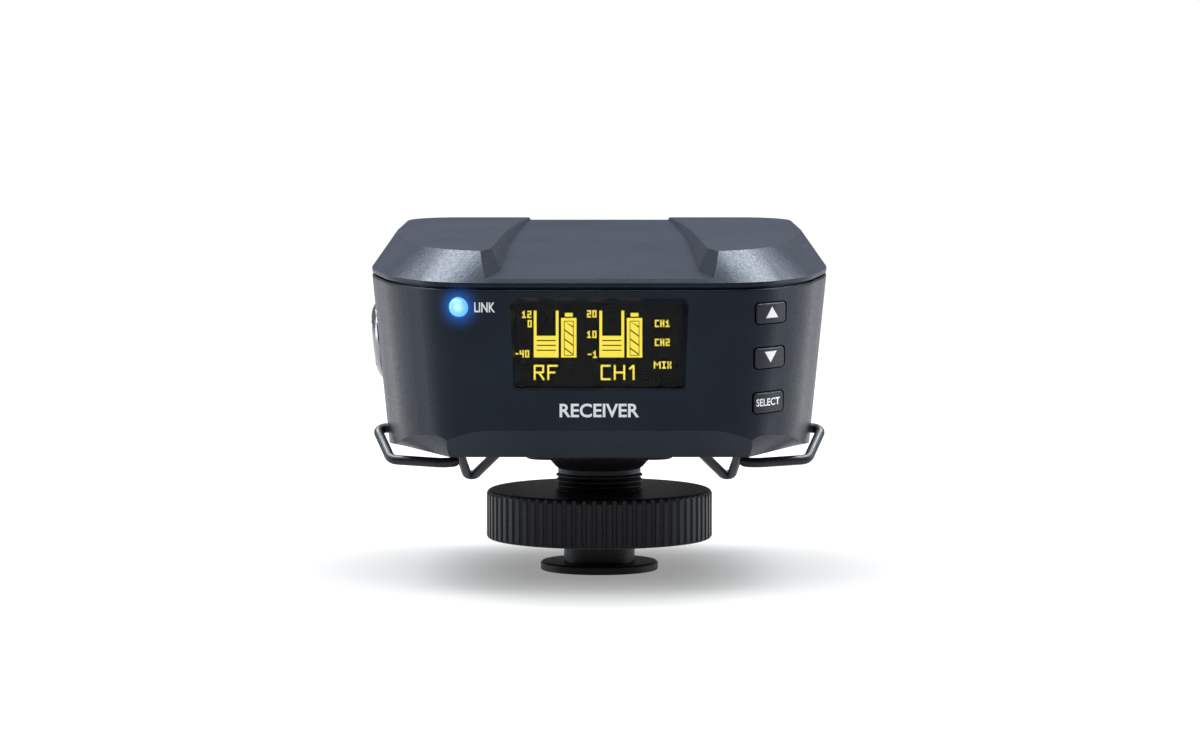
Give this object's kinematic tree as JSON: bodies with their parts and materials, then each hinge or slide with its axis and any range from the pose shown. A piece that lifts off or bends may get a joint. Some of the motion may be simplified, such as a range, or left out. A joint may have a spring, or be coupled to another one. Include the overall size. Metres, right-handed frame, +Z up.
{
  "type": "wireless audio receiver",
  "caption": "Camera-mount wireless audio receiver with a small display, keys, a status light, a wire belt clip, a side output jack and a shoe foot with a lock nut.",
  "frame": {"origin": "centre of the accessory-shoe foot's underside", "axes": "+Z up along the shoe post, -Y the front with the display, +X the viewer's right"},
  "size_m": [0.0702, 0.0832, 0.0522],
  "materials": {
    "case_plastic": "fine satin texture",
    "button_plastic": "smooth satin",
    "window": "clear polished",
    "display_black": "polished black",
    "display_glow": "lit yellow segments",
    "status_light": "frosted lens, lit blue",
    "print_white": "pad print",
    "chrome": "polished",
    "jack_plastic": "satin",
    "clip_wire": "black oxide",
    "black_anodised": "black anodised satin",
    "washer_plastic": "satin",
    "board_green": "solder mask",
    "tin": "tinned",
    "screw_black": "black zinc",
    "cell_wrap": "film wrap",
    "foam": "closed-cell foam",
    "flex_amber": "polyimide film",
    "brass": "stamped"
  },
  "bodies": {
    "case": {"top_cover": "case_plastic", "lower_housing": "case_plastic", "display_window": "window", "display_panel": "display_black", "display_holder": "jack_plastic", "display_flex": "flex_amber", "pair_led": "status_light", "tact_switches": "jack_plastic", "front_board": "board_green", "main_board": "board_green", "board_connector": "jack_plastic", "rf_shield": "tin", "antenna_left": "brass", "antenna_right": "brass", "battery": "cell_wrap", "battery_pad": "foam", "usb_socket": "tin", "power_switch_body": "jack_plastic", "output_jack": "jack_plastic", "jack_nut": "chrome", "housing_screws": "screw_black", "board_screws": "screw_black", "shoe_post": "black_anodised", "mount_collar": "black_anodised", "post_nut": "brass"},
    "button_up_cap": {"button_up": "button_plastic"},
    "button_down_cap": {"button_down": "button_plastic"},
    "button_enter_cap": {"button_enter": "button_plastic"},
    "power_knob": {"power_slider": "button_plastic"},
    "clip": {"belt_clip": "clip_wire"},
    "washer": {"pressure_washer": "washer_plastic"},
    "lock_wheel": {"lock_nut": "black_anodised"}
  },
  "joints": [
    {"name": "button_up_press", "type": "slide", "parent": "case", "child": "button_up_cap", "axis": [0, 1, 0], "range_m": [0, 0.0004], "stiffness_N_per_m": 2500},
    {"name": "button_down_press", "type": "slide", "parent": "case", "child": "button_down_cap", "axis": [0, 1, 0], "range_m": [0, 0.0004], "stiffness_N_per_m": 2500},
    {"name": "button_enter_press", "type": "slide", "parent": "case", "child": "button_enter_cap", "axis": [0, 1, 0], "range_m": [0, 0.0004], "stiffness_N_per_m": 2500},
    {"name": "power_slide", "type": "slide", "parent": "case", "child": "power_knob", "axis": [1, 0, 0], "range_m": [0, 0.003]},
    {"name": "clip_hinge", "type": "hinge", "parent": "case", "child": "clip", "pos_m": [0, -0.012, 0.0231], "axis": [-1, 0, 0], "range_deg": [0, 4], "stiffness_Nm_per_rad": 4},
    {"name": "washer_lift", "type": "slide", "parent": "case", "child": "washer", "axis": [0, 0, 1], "range_m": [-0.0015, 0.00225]},
    {"name": "lock_nut_spin", "type": "hinge", "parent": "washer", "child": "lock_wheel", "pos_m": [0, 0, 0.0086], "axis": [0, 0, 1], "range_deg": [-720, 1080]}
  ],
  "couplings": [
    {"joint": "washer_lift", "follows": "lock_nut_spin", "m_per_rad": 0.00011937}
  ]
}
